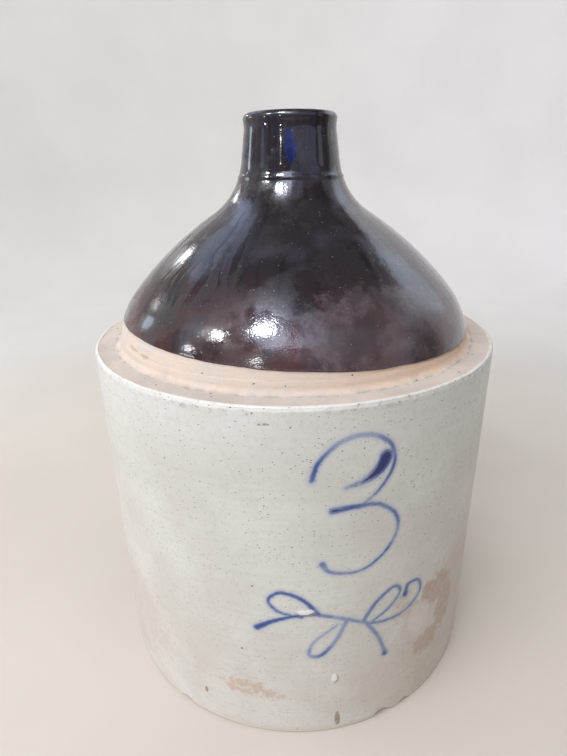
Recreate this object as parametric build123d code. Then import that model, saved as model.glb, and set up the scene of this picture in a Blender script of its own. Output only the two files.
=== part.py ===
"""Stoneware shoulder jug: a white-glazed crock with a brown-glazed domed top, neck and strap handle."""

import math
import os

from build123d import *

os.makedirs("parts", exist_ok=True)

# Crock: outside of the white glaze, wall and floor.
BODY_RADIUS = 132.0
LEDGE_HEIGHT = 227.0
LEDGE_ROUND = 4.6
WALL = 10.0
FOOT_ROUND = 1.2
FLOOR_UNDER = 1.5
FLOOR = 11.0
FLOOR_LAP = 4.0
COIL = 9.0
CORBEL_FOOT = 205.0

# Glaze coats: their thickness, and how far each one reaches.
GLAZE = 0.6
WHITE_FROM = 3.0
WHITE_TO_HEADING = 72.0
BROWN_EDGE_HEIGHT = 235.8
BROWN_EDGE_SLOPE = 0.05
BROWN_EDGE_LOW_SIDE = -12.0

# Dome: foot on the ledge, wall, and its outline as bends of a radius up to a heading.
# A heading is the lean in degrees from straight up towards the middle of the jug.
DOME_FOOT_RADIUS = 116.0
DOME_LEAN = 4.8
DOME_WALL = 9.5
DOME_BENDS = ((54.5, 40.2), (232.0, 57.7), (-41.9, 19.0))
SEAT_DEPTH = 3.0
SEAT_GAP = 2.2
BEAD_WIDTH = 5.4
BEAD_HEIGHT = 2.6
BEAD_HOLLOW = 0.4

# Neck: bends below and above its straight taper, the rounded lip and the bore for a stopper.
NECK_BEND = (-41.9, 7.8)
NECK_TAPER = 17.2
LIP_FLARE = (-18.0, -12.0)
LIP_ROUND = 3.4
MOUTH_ROUND = 4.0
MOUTH_RADIUS = 19.5
REGISTER_RADIUS = 26.0
REGISTER_HEIGHT = 4.0
THROAT_RISE = 1.9
NECK_BEAD = 0.8

# Strap handle: section, and its centre line as distance from the middle and height.
STRAP_WIDTH = 27.0
STRAP_THICK = 14.0
STRAP_CENTRE = ((22.0, 334.0), (57.0, 342.0), (83.0, 321.0), (88.5, 295.0), (85.0, 260.0))
PAD_MARGIN = 4.5
PAD_THICK = 3.6
PAD_REACH = 40.0


def at(radius, height):
    """A point of the section through the middle of the jug."""
    return Vector(radius, 0, height)


def outward(heading):
    """The direction square to an outline of this heading, pointing out of the clay."""
    return Vector(math.cos(math.radians(heading)), 0, math.sin(math.radians(heading)))


def onward(heading):
    """The direction along an outline of this heading."""
    return Vector(-math.sin(math.radians(heading)), 0, math.cos(math.radians(heading)))


def trace(start, heading, bends, inset=0.0):
    """Edges of an outline of smooth bends and straights, moved into the clay by the inset.

    A bend is a signed radius and its end heading; a straight is a radius of 0 and its length.
    """
    point = start - outward(heading) * inset
    edges = []
    for radius, target in bends:
        if radius == 0:
            after = point + onward(heading) * target
            edges.append(Line(point, after))
        else:
            bend = radius - inset
            centre = point - outward(heading) * bend
            middle = centre + outward((heading + target) / 2) * bend
            after = centre + outward(target) * bend
            edges.append(ThreePointArc(point, middle, after))
            heading = target
        point = after
    return edges


def chain(*points):
    """Straight edges through the points."""
    return [Line(a, b) for a, b in zip(points, points[1:])]


def first(edges):
    """Where an outline starts."""
    return edges[0] @ 0


def last(edges):
    """Where an outline ends."""
    return edges[-1] @ 1


def turned(edges):
    """The solid turned round the middle from a closed section."""
    return revolve(make_face(edges), Axis.Z)


# Outline of the dome and of the neck, at any depth under the surface of the glaze.
dome_start = at(DOME_FOOT_RADIUS, LEDGE_HEIGHT)
neck_start = last(trace(dome_start, DOME_LEAN, DOME_BENDS))
to_lip = (NECK_BEND, (0, NECK_TAPER), LIP_FLARE, (LIP_ROUND, 90.0))
lip_crest = last(trace(neck_start, DOME_BENDS[-1][1], to_lip))
lip_flat = lip_crest.X - MOUTH_RADIUS - MOUTH_ROUND
NECK_BENDS = to_lip + ((0, lip_flat), (MOUTH_ROUND, 180.0))


def dome_edges(inset):
    """The dome's outline at a depth under the glaze."""
    return trace(dome_start, DOME_LEAN, DOME_BENDS, inset)


def neck_edges(inset):
    """The neck's outline, over the lip and into the mouth, at a depth under the glaze."""
    return trace(neck_start, DOME_BENDS[-1][1], NECK_BENDS, inset)


def top_form(inset):
    """The whole top of the jug as one filled form, at a depth under the glaze."""
    dome = dome_edges(inset)
    neck = neck_edges(inset)
    rim = last(neck)
    skirt = first(dome) - onward(DOME_LEAN) * 8
    closing = chain(rim, at(0, rim.Z), at(0, skirt.Z), skirt, first(dome))
    return turned(dome + neck + closing)


# Heights and radii that follow from the driving sizes.
clay_radius = BODY_RADIUS - GLAZE
inner_radius = clay_radius - WALL
floor_top = FLOOR_UNDER + FLOOR
seat = LEDGE_HEIGHT - SEAT_DEPTH
dome_outer = dome_edges(GLAZE)
dome_inner = dome_edges(DOME_WALL)
lean = math.tan(math.radians(DOME_LEAN))
foot_outer = at(first(dome_outer).X + (first(dome_outer).Z - seat) * lean, seat)
foot_inner = at(first(dome_inner).X + (first(dome_inner).Z - seat) * lean, seat)
seat_outer = at(foot_outer.X + SEAT_GAP, seat)
corbel_top = at(foot_inner.X, CORBEL_FOOT + inner_radius - foot_inner.X)
neck_outer = neck_edges(GLAZE)
joint = last(dome_outer).Z
register_top = joint + REGISTER_HEIGHT
bore = MOUTH_RADIUS + GLAZE
throat = at(bore, last(dome_inner).Z + THROAT_RISE)
bore_top = last(neck_outer).Z

# Floor: a round slab let into a rebate in the foot of the wall.
lap_radius = inner_radius + FLOOR_LAP
crock_floor = Pos(0, 0, FLOOR_UNDER + FLOOR / 2) * Cylinder(lap_radius, FLOOR)

# Wall: a straight cylinder with a rounded ledge, a seat for the dome and a corbel under the ledge.
ledge_bend = LEDGE_ROUND - GLAZE
wall_straight = LEDGE_HEIGHT - ledge_bend - FOOT_ROUND
wall_bends = ((FOOT_ROUND, 0.0), (0, wall_straight), (ledge_bend, 90.0))
wall_outer = trace(at(clay_radius - FOOT_ROUND, 0), -90.0, wall_bends)
wall_rest = chain(
    last(wall_outer),
    at(seat_outer.X, LEDGE_HEIGHT),
    seat_outer,
    foot_inner,
    corbel_top,
    at(inner_radius, CORBEL_FOOT),
    at(inner_radius, floor_top),
    at(lap_radius, floor_top),
    at(lap_radius, 0),
    first(wall_outer),
)
crock_wall = turned(wall_outer + wall_rest)

# Coil: soft clay pressed into the inside corner between floor and wall.
coil_bend = ThreePointArc(
    at(inner_radius - COIL, floor_top),
    at(inner_radius - COIL * (1 - math.sqrt(0.5)), floor_top + COIL * (1 - math.sqrt(0.5))),
    at(inner_radius, floor_top + COIL),
)
coil_corner = chain(coil_bend @ 1, at(inner_radius, floor_top), coil_bend @ 0)
floor_luting_coil = turned([coil_bend] + coil_corner)

# Dome: a bell with a raised ring round its opening, which the collar fits over.
dome_rest = chain(
    last(dome_outer),
    at(REGISTER_RADIUS, joint),
    at(REGISTER_RADIUS, register_top),
    at(bore, register_top),
    throat,
    last(dome_inner),
)
dome_foot = chain(first(dome_inner), foot_inner, foot_outer, first(dome_outer))
shoulder_dome = turned(dome_outer + dome_rest + dome_inner + dome_foot)

# Bead: slip and soft clay filling the gap between dome and seat, wiped to a hollow on the ledge.
bead_foot = at(foot_outer.X + BEAD_WIDTH, LEDGE_HEIGHT)
bead_rise = (LEDGE_HEIGHT + BEAD_HEIGHT - seat) * lean
bead_crest = at(foot_outer.X - bead_rise, LEDGE_HEIGHT + BEAD_HEIGHT)
bead_back = at((bead_foot.X + bead_crest.X) / 2, (bead_foot.Z + bead_crest.Z) / 2)
bead_face = ThreePointArc(bead_foot, bead_back - Vector(BEAD_HOLLOW, 0, BEAD_HOLLOW), bead_crest)
bead_rest = chain(bead_crest, foot_outer, seat_outer, at(seat_outer.X, LEDGE_HEIGHT), bead_foot)
dome_luting_ring = turned([bead_face] + bead_rest) - shoulder_dome

# Collar: the neck with its rounded lip, rebated to sit over the raised ring of the dome.
collar_rest = chain(
    last(neck_outer),
    at(bore, register_top),
    at(REGISTER_RADIUS, register_top),
    at(REGISTER_RADIUS, joint),
    first(neck_outer),
)
neck_collar = turned(neck_outer + collar_rest)

# Ring: the thread of slip that was wiped round the foot of the collar.
ring_plane = Plane(origin=first(neck_outer), x_dir=(1, 0, 0), z_dir=(0, -1, 0))
clay_form = top_form(GLAZE)
neck_luting_ring = revolve(ring_plane * Circle(NECK_BEAD), Axis.Z) - clay_form

# Handle: a strap bent from the neck out over the back and down to the dome.
strap_line = Spline(*(Vector(0, radius, height) for radius, height in STRAP_CENTRE))
strap_plane = Plane(origin=strap_line @ 0, x_dir=(1, 0, 0), z_dir=strap_line % 0)
strap_section = strap_plane * RectangleRounded(STRAP_WIDTH, STRAP_THICK, STRAP_THICK * 0.42)
strap_handle = sweep(strap_section, strap_line) - clay_form

# Pads: clay pressed round each end of the handle, hugging the neck and the dome.
pad_form = top_form(GLAZE - PAD_THICK) - clay_form
pad_width = STRAP_WIDTH + 2 * PAD_MARGIN
pad_depth = STRAP_THICK + 2 * PAD_MARGIN


def luting_pad(where):
    """The pad round the strap near one end of its centre line."""
    plane = Plane(origin=strap_line @ where, x_dir=(1, 0, 0), z_dir=strap_line % where)
    prism = extrude(plane * Ellipse(pad_width / 2, pad_depth / 2), PAD_REACH, both=True)
    return (prism & pad_form) - strap_handle


handle_upper_lute = luting_pad(0.06)
handle_lower_lute = luting_pad(0.9)

# Brown coat: slip glaze over dome, collar and lip, down to a dipped line that runs out of level.
low_side = math.radians(BROWN_EDGE_LOW_SIDE)
dip_up = Vector(math.cos(low_side) * BROWN_EDGE_SLOPE, math.sin(low_side) * BROWN_EDGE_SLOPE, 1)
dip_line = Plane(origin=(0, 0, BROWN_EDGE_HEIGHT), z_dir=dip_up)
coat_top = neck_edges(0)
coat_edges = dome_edges(0) + coat_top + chain(last(coat_top), last(neck_outer))
coat_edges += dome_outer + neck_outer + chain(first(dome_outer), first(dome_edges(0)))
ring_cover = revolve(ring_plane * Circle(NECK_BEAD + GLAZE), Axis.Z) - clay_form - neck_luting_ring
brown_coat = split(turned(coat_edges), bisect_by=dip_line, keep=Keep.TOP) - neck_luting_ring
brown_coat += ring_cover
brown_glaze_coat = brown_coat - strap_handle - handle_upper_lute - handle_lower_lute

# White coat: glaze over the wall and the round of the ledge, wiped clear of the foot.
white_bends = ((0, LEDGE_HEIGHT - ledge_bend - WHITE_FROM), (LEDGE_ROUND, WHITE_TO_HEADING))
white_outer = trace(at(BODY_RADIUS, WHITE_FROM), 0.0, white_bends)
white_inner = trace(at(BODY_RADIUS, WHITE_FROM), 0.0, white_bends, GLAZE)
white_ends = chain(last(white_outer), last(white_inner)) + chain(first(white_inner), first(white_outer))
white_glaze_coat = turned(white_outer + white_inner + white_ends)

# Lining: the brown slip poured round the inside, from the floor up to the lip.
hollow_edges = [coil_bend] + chain(
    coil_bend @ 1, at(inner_radius, CORBEL_FOOT), corbel_top, foot_inner, first(dome_inner)
)
hollow_edges += dome_inner + chain(
    last(dome_inner), throat, at(bore, bore_top + 20), at(-20, bore_top + 20),
    at(-20, floor_top), coil_bend @ 0,
)
hollow = make_face(hollow_edges)
lined = offset(hollow, -GLAZE, kind=Kind.INTERSECTION)
keep = make_face(chain(at(0, 0), at(200, 0), at(200, bore_top), at(0, bore_top), at(0, 0)))
slip_lining = revolve((hollow & keep) - lined, Axis.Z)
cavity = revolve(lined & keep, Axis.Z)

NODES = {
    "crock_floor": crock_floor,
    "crock_wall": crock_wall,
    "floor_luting_coil": floor_luting_coil,
    "shoulder_dome": shoulder_dome,
    "dome_luting_ring": dome_luting_ring,
    "neck_collar": neck_collar,
    "neck_luting_ring": neck_luting_ring,
    "strap_handle": strap_handle,
    "handle_upper_lute": handle_upper_lute,
    "handle_lower_lute": handle_lower_lute,
    "brown_glaze_coat": brown_glaze_coat,
    "white_glaze_coat": white_glaze_coat,
    "slip_lining": slip_lining,
}

for name, shape in NODES.items():
    solids = shape.solids()
    export_step(solids[0], f"parts/{name}.step")
    print(name, "solids", len(solids), "volume", round(shape.volume, 1), "valid", solids[0].is_valid)

print("holds", round(cavity.volume / 1e6, 2), "litres to the brim")
print("height", round(lip_crest.Z, 2), "bore top", round(bore_top, 2), "joint", round(joint, 2))
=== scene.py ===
"""A stoneware shoulder jug: white-glazed crock, bare clay shoulder, brown-glazed dome and neck."""

import bisect
import math

import bmesh
import bpy
from mathutils import Matrix, Vector, noise


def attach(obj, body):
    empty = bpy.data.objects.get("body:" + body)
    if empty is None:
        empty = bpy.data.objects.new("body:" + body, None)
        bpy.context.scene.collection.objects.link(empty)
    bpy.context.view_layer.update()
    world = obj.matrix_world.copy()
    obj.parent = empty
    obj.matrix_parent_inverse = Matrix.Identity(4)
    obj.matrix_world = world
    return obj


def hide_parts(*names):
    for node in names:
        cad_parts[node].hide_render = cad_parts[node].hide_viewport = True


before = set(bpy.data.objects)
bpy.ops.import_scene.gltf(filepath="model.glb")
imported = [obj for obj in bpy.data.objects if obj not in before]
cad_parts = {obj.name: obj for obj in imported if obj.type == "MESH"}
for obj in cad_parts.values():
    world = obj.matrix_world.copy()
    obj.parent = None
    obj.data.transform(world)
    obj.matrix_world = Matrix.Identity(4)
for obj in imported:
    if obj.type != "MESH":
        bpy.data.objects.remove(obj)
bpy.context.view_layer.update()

# Crock floor: a round slab of stoneware let into the foot of the wall, left bare underneath.
# Its clay is the clay of the whole jug: buff, sandy, speckled with iron and toasted in the kiln.


def shader_group(name, output, **inputs):
    """An empty shader node group that reads a place and these inputs, and its input and output nodes."""
    group = bpy.data.node_groups.new(name, "ShaderNodeTree")
    for label, value in {"Place": (0, 0, 0), **inputs}.items():
        kind = "NodeSocketVector" if isinstance(value, tuple) else "NodeSocketFloat"
        socket = group.interface.new_socket(label, in_out="INPUT", socket_type=kind)
        socket.default_value = value
    group.interface.new_socket(output, in_out="OUTPUT", socket_type="NodeSocketFloat")
    return group, group.nodes.new("NodeGroupInput"), group.nodes.new("NodeGroupOutput")


def node(tree, kind, links=(), **settings):
    """A node with its settings; links gives a value or an output for some of its inputs."""
    made = tree.nodes.new("ShaderNode" + kind)
    for key, value in settings.items():
        setattr(made, key, value)
    for key, value in dict(links).items():
        if isinstance(value, bpy.types.NodeSocket):
            tree.links.new(value, made.inputs[key])
        else:
            made.inputs[key].default_value = value
    return made


def sums(tree, operation, a, b=0.0):
    """One step of arithmetic on two values."""
    return node(tree, "Math", {0: a, 1: b}, operation=operation).outputs[0]


def chained(tree, operation, values):
    """The same arithmetic on several values, one after the other."""
    result = values[0]
    for value in values[1:]:
        result = sums(tree, operation, result, value)
    return result


def times(tree, *factors):
    """Several masks or values multiplied together."""
    return chained(tree, "MULTIPLY", factors)


def total(tree, *parts):
    """Several values added together."""
    return chained(tree, "ADD", parts)


def most(tree, *masks):
    """The strongest of several masks."""
    return chained(tree, "MAXIMUM", masks)


def less(tree, value, taken):
    """A value with another taken from it."""
    return sums(tree, "SUBTRACT", value, taken)


def fade(tree, value, low, high):
    """A soft step from 0 at low to 1 at high."""
    links = {"Value": value, "From Min": low, "From Max": high}
    return node(tree, "MapRange", links, interpolation_type="SMOOTHSTEP").outputs["Result"]


def tint(tree, mask, under, over):
    """The colour under, turned to the colour over where the mask is 1."""
    return node(tree, "Mix", {0: mask, 6: under, 7: over}, data_type="RGBA").outputs[2]


def laid(tree, colour, *layers):
    """A colour with layers on it, each a mask, its strength and its own colour."""
    for mask, strength, tone in layers:
        colour = tint(tree, times(tree, mask, strength), colour, tone)
    return colour


def grain(tree, place, scale, detail=2.0, roughness=0.5):
    """Cloudy noise from 0 to 1 at so many patches to the metre."""
    links = {"Vector": place, "Scale": scale, "Detail": detail, "Roughness": roughness}
    return node(tree, "TexNoise", links).outputs["Fac"]


def stretched(tree, place, x, y, z):
    """Coordinates drawn out along an axis, so that a pattern on them runs that way."""
    return node(tree, "Mapping", {"Vector": place, "Scale": (x, y, z)}).outputs["Vector"]


def join(tree, operation, a, b):
    """One step of arithmetic on two places."""
    return node(tree, "VectorMath", {0: a, 1: b}, operation=operation).outputs[0]


def height_of(tree, place):
    """The height above the floor."""
    return node(tree, "SeparateXYZ", {"Vector": place}).outputs["Z"]


def across_of(tree, place):
    """The distance from the middle towards +X."""
    return node(tree, "SeparateXYZ", {"Vector": place}).outputs["X"]


def radius_of(tree, place):
    """The distance from the middle of the jug."""
    flat = stretched(tree, place, 1.0, 1.0, 0.0)
    return node(tree, "VectorMath", {0: flat}, operation="LENGTH").outputs["Value"]


def principled(name, base, roughness):
    """A new material with its tree, its shader and the object's own coordinates."""
    material = bpy.data.materials.new(name)
    material.use_nodes = True
    tree = material.node_tree
    shader = tree.nodes["Principled BSDF"]
    shader.inputs["Base Color"].default_value = base
    shader.inputs["Roughness"].default_value = roughness
    place = tree.nodes.new("ShaderNodeTexCoord").outputs["Object"]
    return material, tree, shader, place


def relief(tree, shader, height, depth):
    """Fine relief on a shader, from a height between 0 and 1 and its depth in metres."""
    bump = node(tree, "Bump", {"Height": height, "Distance": depth, "Strength": 1.0})
    tree.links.new(bump.outputs["Normal"], shader.inputs["Normal"])


def speck_group():
    """Scattered specks: one in each cell of a random size, and next to none in most cells."""
    group, given, out = shader_group("scattered specks", "Speck", Cells=200.0, Size=0.3, Rarity=3.0)
    place = given.outputs["Place"]
    cells = node(group, "TexVoronoi", {"Vector": place, "Scale": given.outputs["Cells"]})
    chance = node(group, "SeparateColor", {"Color": cells.outputs["Color"]}).outputs[0]
    size = times(group, sums(group, "POWER", chance, given.outputs["Rarity"]), given.outputs["Size"])
    inside = less(group, size, cells.outputs["Distance"])
    group.links.new(fade(group, inside, 0.0, 0.06), out.inputs["Speck"])
    return group


speck_tree = speck_group()


def placed_group(tree, group, place, **values):
    """The output of a node group set in a material, read at this place with these values."""
    made = tree.nodes.new("ShaderNodeGroup")
    made.node_tree = group
    tree.links.new(place, made.inputs["Place"])
    for label, value in values.items():
        made.inputs[label].default_value = value
    return made.outputs[0]


def specks(tree, place, cells, size, rarity):
    """The mask of scattered specks in a material."""
    return placed_group(tree, speck_tree, place, Cells=cells, Size=size, Rarity=rarity)


MM = 0.001


def at(turn, radius, height):
    """A point of the jug: turn in degrees from the front towards +X, radius and height in mm."""
    angle = math.radians(turn)
    return Vector((math.sin(angle) * radius, -math.cos(angle) * radius, height)) * MM


def patch_group():
    """A ragged patch round a point: 1 in it, 0 away from it."""
    group, given, out = shader_group(
        "ragged patch", "Patch", Middle=(0, 0, 0), Reach=(100, 100, 100), Ragged=0.5,
    )
    place = given.outputs["Place"]
    away = join(group, "SUBTRACT", place, given.outputs["Middle"])
    scaled = join(group, "MULTIPLY", away, given.outputs["Reach"])
    length = node(group, "VectorMath", {0: scaled}, operation="LENGTH").outputs["Value"]
    tear = less(group, grain(group, place, 150.0, 6.0, 0.7), 0.5)
    torn = total(group, length, times(group, tear, given.outputs["Ragged"]))
    group.links.new(fade(group, less(group, 1.0, torn), 0.0, 0.3), out.inputs["Patch"])
    return group


patch_tree = patch_group()


def patch(tree, place, turn, radius, height, wide, tall, ragged):
    """The mask of a ragged stain round a point of the jug, from its half width and half height in mm."""
    middle = at(turn, radius, height)
    reach = [1 / MM / half for half in (wide, wide, tall)]
    return placed_group(tree, patch_tree, place, Middle=middle, Reach=reach, Ragged=ragged)


IRON = (0.05, 0.035, 0.028, 1)
LEDGE_CLAY = (0.615, 0.54, 0.485, 1)
GREY_CLAY = (0.51, 0.45, 0.41, 1)
FOOT_CLAY = (0.76, 0.71, 0.62, 1)
CRACK_DIRT = (0.20, 0.165, 0.14, 1)
WIPED_SLIP = (0.47, 0.44, 0.41, 1)
BROWN_SMEAR = (0.50, 0.31, 0.20, 1)
# Pairs in metres: where a finish begins and where it is full.
# The side towards +X is flashed orange by the kiln and also painted brighter, as painted light.
FLASHED_AND_LIT_SIDE = (-0.08, 0.07)
LEDGE_EDGE = (0.1142, 0.1198)
FOOT_EDGE = (0.014, 0.005)
CRACK_EDGE = (0.0006, 0.0001)
SLIP_EDGE = (0.0034, 0.0006)
CRACK_RISE = (0.0034, 0.0022)
CRACK_RADIUS = 0.1187
CRACK_WANDER = 0.0034
LEDGE_LEVEL = 0.2266
LEDGE_WANDER = 0.006
CLAY_RELIEF = 0.00028
# Each smear has the values that patch takes.
SMEARS = ((-66.0, 114.6, 235.4, 7.0, 1.0, 1.0), (-58.5, 114.9, 234.4, 5.0, 1.3, 0.8))


def bead_crack(tree, place, radius, wander):
    """The masks of the crack beside the bead and of the slip wiped round it, broken here and there."""
    off_level = sums(tree, "ABSOLUTE", less(tree, height_of(tree, place), LEDGE_LEVEL))
    broken = fade(tree, grain(tree, place, 150.0, 4.0), 0.42, 0.62)
    beside = times(tree, fade(tree, off_level, *CRACK_RISE), broken)
    off_crack = less(tree, total(tree, radius, times(tree, wander, CRACK_WANDER)), CRACK_RADIUS)
    off_crack = sums(tree, "ABSOLUTE", off_crack)
    return [times(tree, fade(tree, off_crack, *edge), beside) for edge in (CRACK_EDGE, SLIP_EDGE)]


def fired_clay(name, pale, toasted, dirt, flash_and_light=0.0):
    """Bare stoneware: sandy and cloudy, with iron specks, and dirt in the crack beside the bead.

    It is greyer out on the ledge. The last argument is how far the side towards +X is toasted by the kiln
    and painted brighter, as painted light.
    """
    material, tree, shader, place = principled(name, pale, 0.82)
    cloud = fade(tree, grain(tree, place, 34.0, 5.0, 0.6), 0.34, 0.66)
    sand = grain(tree, place, 1100.0)
    wiped = grain(tree, stretched(tree, place, 26.0, 26.0, 700.0), 1.0, 3.0)
    radius = radius_of(tree, place)
    wander = less(tree, grain(tree, place, 90.0, 4.0), 0.5)
    crack, slip = bead_crack(tree, place, radius, wander)
    iron = most(tree, specks(tree, place, 330.0, 0.26, 7.0), specks(tree, place, 150.0, 0.13, 8.0))
    # Kiln flashing on the side towards +X, with painted light making that side brighter.
    flashed_and_lit_side = times(tree, fade(tree, across_of(tree, place), *FLASHED_AND_LIT_SIDE), flash_and_light)
    colour = tint(tree, most(tree, times(tree, cloud, 0.4), flashed_and_lit_side), pale, toasted)
    ledge = fade(tree, total(tree, radius, times(tree, wander, LEDGE_WANDER)), *LEDGE_EDGE)
    colour = laid(
        tree, tint(tree, ledge, colour, tint(tree, cloud, LEDGE_CLAY, GREY_CLAY)),
        (fade(tree, height_of(tree, place), *FOOT_EDGE), 0.8, FOOT_CLAY),
        (fade(tree, sand, 0.5, 0.8), 0.3, dirt),
        (fade(tree, wiped, 0.55, 0.8), 0.25, dirt),
        (slip, 0.6, WIPED_SLIP),
        (crack, 0.45, CRACK_DIRT),
        *((patch(tree, place, *smear), 0.55, BROWN_SMEAR) for smear in SMEARS),
        (iron, 0.85, IRON),
    )
    tree.links.new(colour, shader.inputs["Base Color"])
    skin = total(tree, times(tree, sand, 0.5), times(tree, wiped, 0.4))
    relief(tree, shader, less(tree, skin, most(tree, iron, crack)), CLAY_RELIEF)
    return material


bare_clay = fired_clay(
    "bare stoneware",
    pale=(0.62, 0.48, 0.37, 1),
    toasted=(0.52, 0.37, 0.27, 1),
    dirt=(0.25, 0.19, 0.15, 1),
)


def dress(node_name, material):
    """A CAD node shown as it is, with this material on all its faces."""
    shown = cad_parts[node_name]
    shown.data.materials.clear()
    shown.data.materials.append(material)


for clay_node in ("crock_floor", "floor_luting_coil", "neck_collar", "neck_luting_ring"):
    dress(clay_node, bare_clay)

# Crock wall: the straight thrown cylinder of buff stoneware that carries everything else.
# It shows bare on the ledge and along the foot, where knocks have taken chips out of the edge.
WALL_RADIUS = 131.4
WALL_UNDER_GLAZE = 130.0
WALL_INSIDE = 121.4
LEDGE = 227.0
LEDGE_SUNK = 0.3
LEDGE_LUMPS = ((0.3, 9.0), (0.2, 2.2))
DENT_RADIUS = 119.0
DENT_DEPTH = 0.25
DENT_WIDTH = 0.6
SEAT = 224.0
SEAT_INSIDE = 106.8
SECTORS = 10
MERGE_WITHIN = 0.00001
CHIP_DEEPEST = 2.0
CHIP_STEEPNESS = 2.4
CHIP_RAGGED = 0.35
# Each chip out of the foot: its turn in degrees, and its half width and height in mm.
FOOT_CHIPS = ((13.0, 6.5, 6.0), (21.0, 3.0, 3.0), (-46.0, 4.0, 3.6), (88.0, 5.0, 4.6), (170.0, 6.0, 4.6))


def outline(start, lean, bends, inset=0.0, fineness=1.0):
    """Points of an outline of smooth bends and straights, moved into the clay by the inset.

    The lean is in degrees from straight up towards the middle. A bend is a signed radius and
    its end lean; a straight is 0 and its length. The points lie about the fineness apart.
    """
    tilt = math.radians(lean)
    radius = start[0] - math.cos(tilt) * inset
    height = start[1] - math.sin(tilt) * inset
    points = [(radius, height)]
    for bend, target in bends:
        if bend == 0:
            steps = max(1, round(target / fineness))
            for step in range(1, steps + 1):
                run = target * step / steps
                points.append((radius - math.sin(tilt) * run, height + math.cos(tilt) * run))
        else:
            end = math.radians(target)
            curve = bend - inset
            steps = max(4, round(abs(curve * (end - tilt)) / fineness))
            middle = (radius - math.cos(tilt) * curve, height - math.sin(tilt) * curve)
            for step in range(1, steps + 1):
                here = tilt + (end - tilt) * step / steps
                points.append((middle[0] + math.cos(here) * curve, middle[1] + math.sin(here) * curve))
            tilt = end
        radius, height = points[-1]
    return points


def smoothed(bm, mesh):
    """The mesh filled from its builder, with faces turned outwards and shaded smooth."""
    bmesh.ops.recalc_face_normals(bm, faces=bm.faces)
    for face in bm.faces:
        face.smooth = True
    bm.to_mesh(mesh)
    bm.free()
    return mesh


def thrown(name, section, spins, finish):
    """A closed shell turned from its section, then moved by finish to what hands and kiln left.

    Each spin is its start and sweep in degrees and its steps: one sector of it is spun from the
    section and then repeated. Finish takes and gives a turn, radius and height.
    """
    mesh = bpy.data.meshes.new(name)
    bm = bmesh.new()
    about = {"cent": (0, 0, 0), "axis": (0, 0, 1), "dvec": (0, 0, 0)}
    for start, sweep, steps in spins:
        sector = bmesh.new()
        angle = math.radians(sweep) / SECTORS
        ring = [sector.verts.new(at(start, radius, height)) for radius, height in section]
        edges = [sector.edges.new(pair) for pair in zip(ring, ring[1:] + ring[:1])]
        bmesh.ops.spin(sector, geom=ring + edges, angle=angle, steps=steps // SECTORS, **about)
        whole = sector.verts[:] + sector.edges[:] + sector.faces[:]
        bmesh.ops.spin(
            sector, geom=whole, angle=angle * (SECTORS - 1), steps=SECTORS - 1, use_duplicate=True, **about,
        )
        sector.to_mesh(mesh)
        sector.free()
        bm.from_mesh(mesh)
    bmesh.ops.remove_doubles(bm, verts=bm.verts, dist=MERGE_WITHIN)
    for vertex in bm.verts:
        x, y, z = vertex.co / MM
        vertex.co = at(*finish(math.degrees(math.atan2(x, -y)), math.hypot(x, y), z))
    return smoothed(bm, mesh)


def placed(name, data):
    """A new object in the scene."""
    piece = bpy.data.objects.new(name, data)
    bpy.context.scene.collection.objects.link(piece)
    return piece


def show(mesh, material, slot, *nodes):
    """A finished piece of the jug, named like its mesh, that stands for these CAD nodes."""
    piece = placed(mesh.name, mesh)
    mesh.materials.append(material)
    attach(piece, "root")
    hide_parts(*nodes)


def lumps(turn, radius, height, size):
    """Noise between about -1 and 1 over the jug, with lumps of this size in mm."""
    return noise.fractal(at(turn, radius, height) / (size * MM), 1.0, 2.0, 3)


def rough(turn, radius, height, layers):
    """Lumps of several sizes added up, from pairs of their depth and size in mm."""
    return sum(depth * lumps(turn, radius, height, size) for depth, size in layers)


def share(value, low, high):
    """How far a value is from low to high, from 0 to 1."""
    return min(1.0, max(0.0, (value - low) / (high - low)))


def chip_depth(turn, height):
    """How deep the foot is chipped here, in mm."""
    depth = 0.0
    for centre, width, tall in FOOT_CHIPS:
        away = (turn - centre) * math.radians(1) * WALL_RADIUS
        if abs(away) < 2 * width:
            edge = 1.0 - (away / width) ** 2 - (height / tall) ** 2
            edge += CHIP_RAGGED * lumps(turn, 131, height, 4)
            depth = max(depth, min(CHIP_DEEPEST, CHIP_STEEPNESS * edge))
    return depth


wall_section = outline((130.2, 0.0), -90.0, ((1.2, 0.0), (0, 12.0)), fineness=0.8)
wall_section += [(WALL_UNDER_GLAZE, 15.0), (WALL_UNDER_GLAZE, 216.0)]
wall_section += outline((131.2, 218.0), 0.0, ((0, 6.6), (2.4, 90.0), (0, 11.0)), fineness=0.7)
wall_section += [(117.8, SEAT), (SEAT_INSIDE, SEAT), (SEAT_INSIDE, 219.6), (WALL_INSIDE, 205.0)]
wall_section += [(WALL_INSIDE, 12.5), (125.4, 12.5), (125.4, 0.0)]


def wall_finish(turn, radius, height):
    """The foot chipped, and the bare ledge left rough, with a shallow dent along the bead."""
    if height < 14.0 and radius > 127.0:
        radius -= chip_depth(turn, height)
    if height > 226.5 and radius < 129.0:
        off_dent = radius - DENT_RADIUS + 0.5 * lumps(turn, DENT_RADIUS, LEDGE, 12)
        height -= LEDGE_SUNK + rough(turn, radius, height, LEDGE_LUMPS)
        height -= DENT_DEPTH * math.exp(-((off_dent / DENT_WIDTH) ** 2))
    return turn, radius, height


# This clay is flashed towards +X and painted brighter there, as painted light.
shoulder_clay = fired_clay(
    "toasted clay",
    pale=(0.655, 0.60, 0.55, 1),
    toasted=(0.88, 0.63, 0.46, 1),
    dirt=(0.50, 0.42, 0.36, 1),
    flash_and_light=0.9,
)
show(
    thrown("crock_wall_clay", wall_section, ((0, 360, 480),), wall_finish),
    shoulder_clay, "bare_clay", "crock_wall",
)
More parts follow.
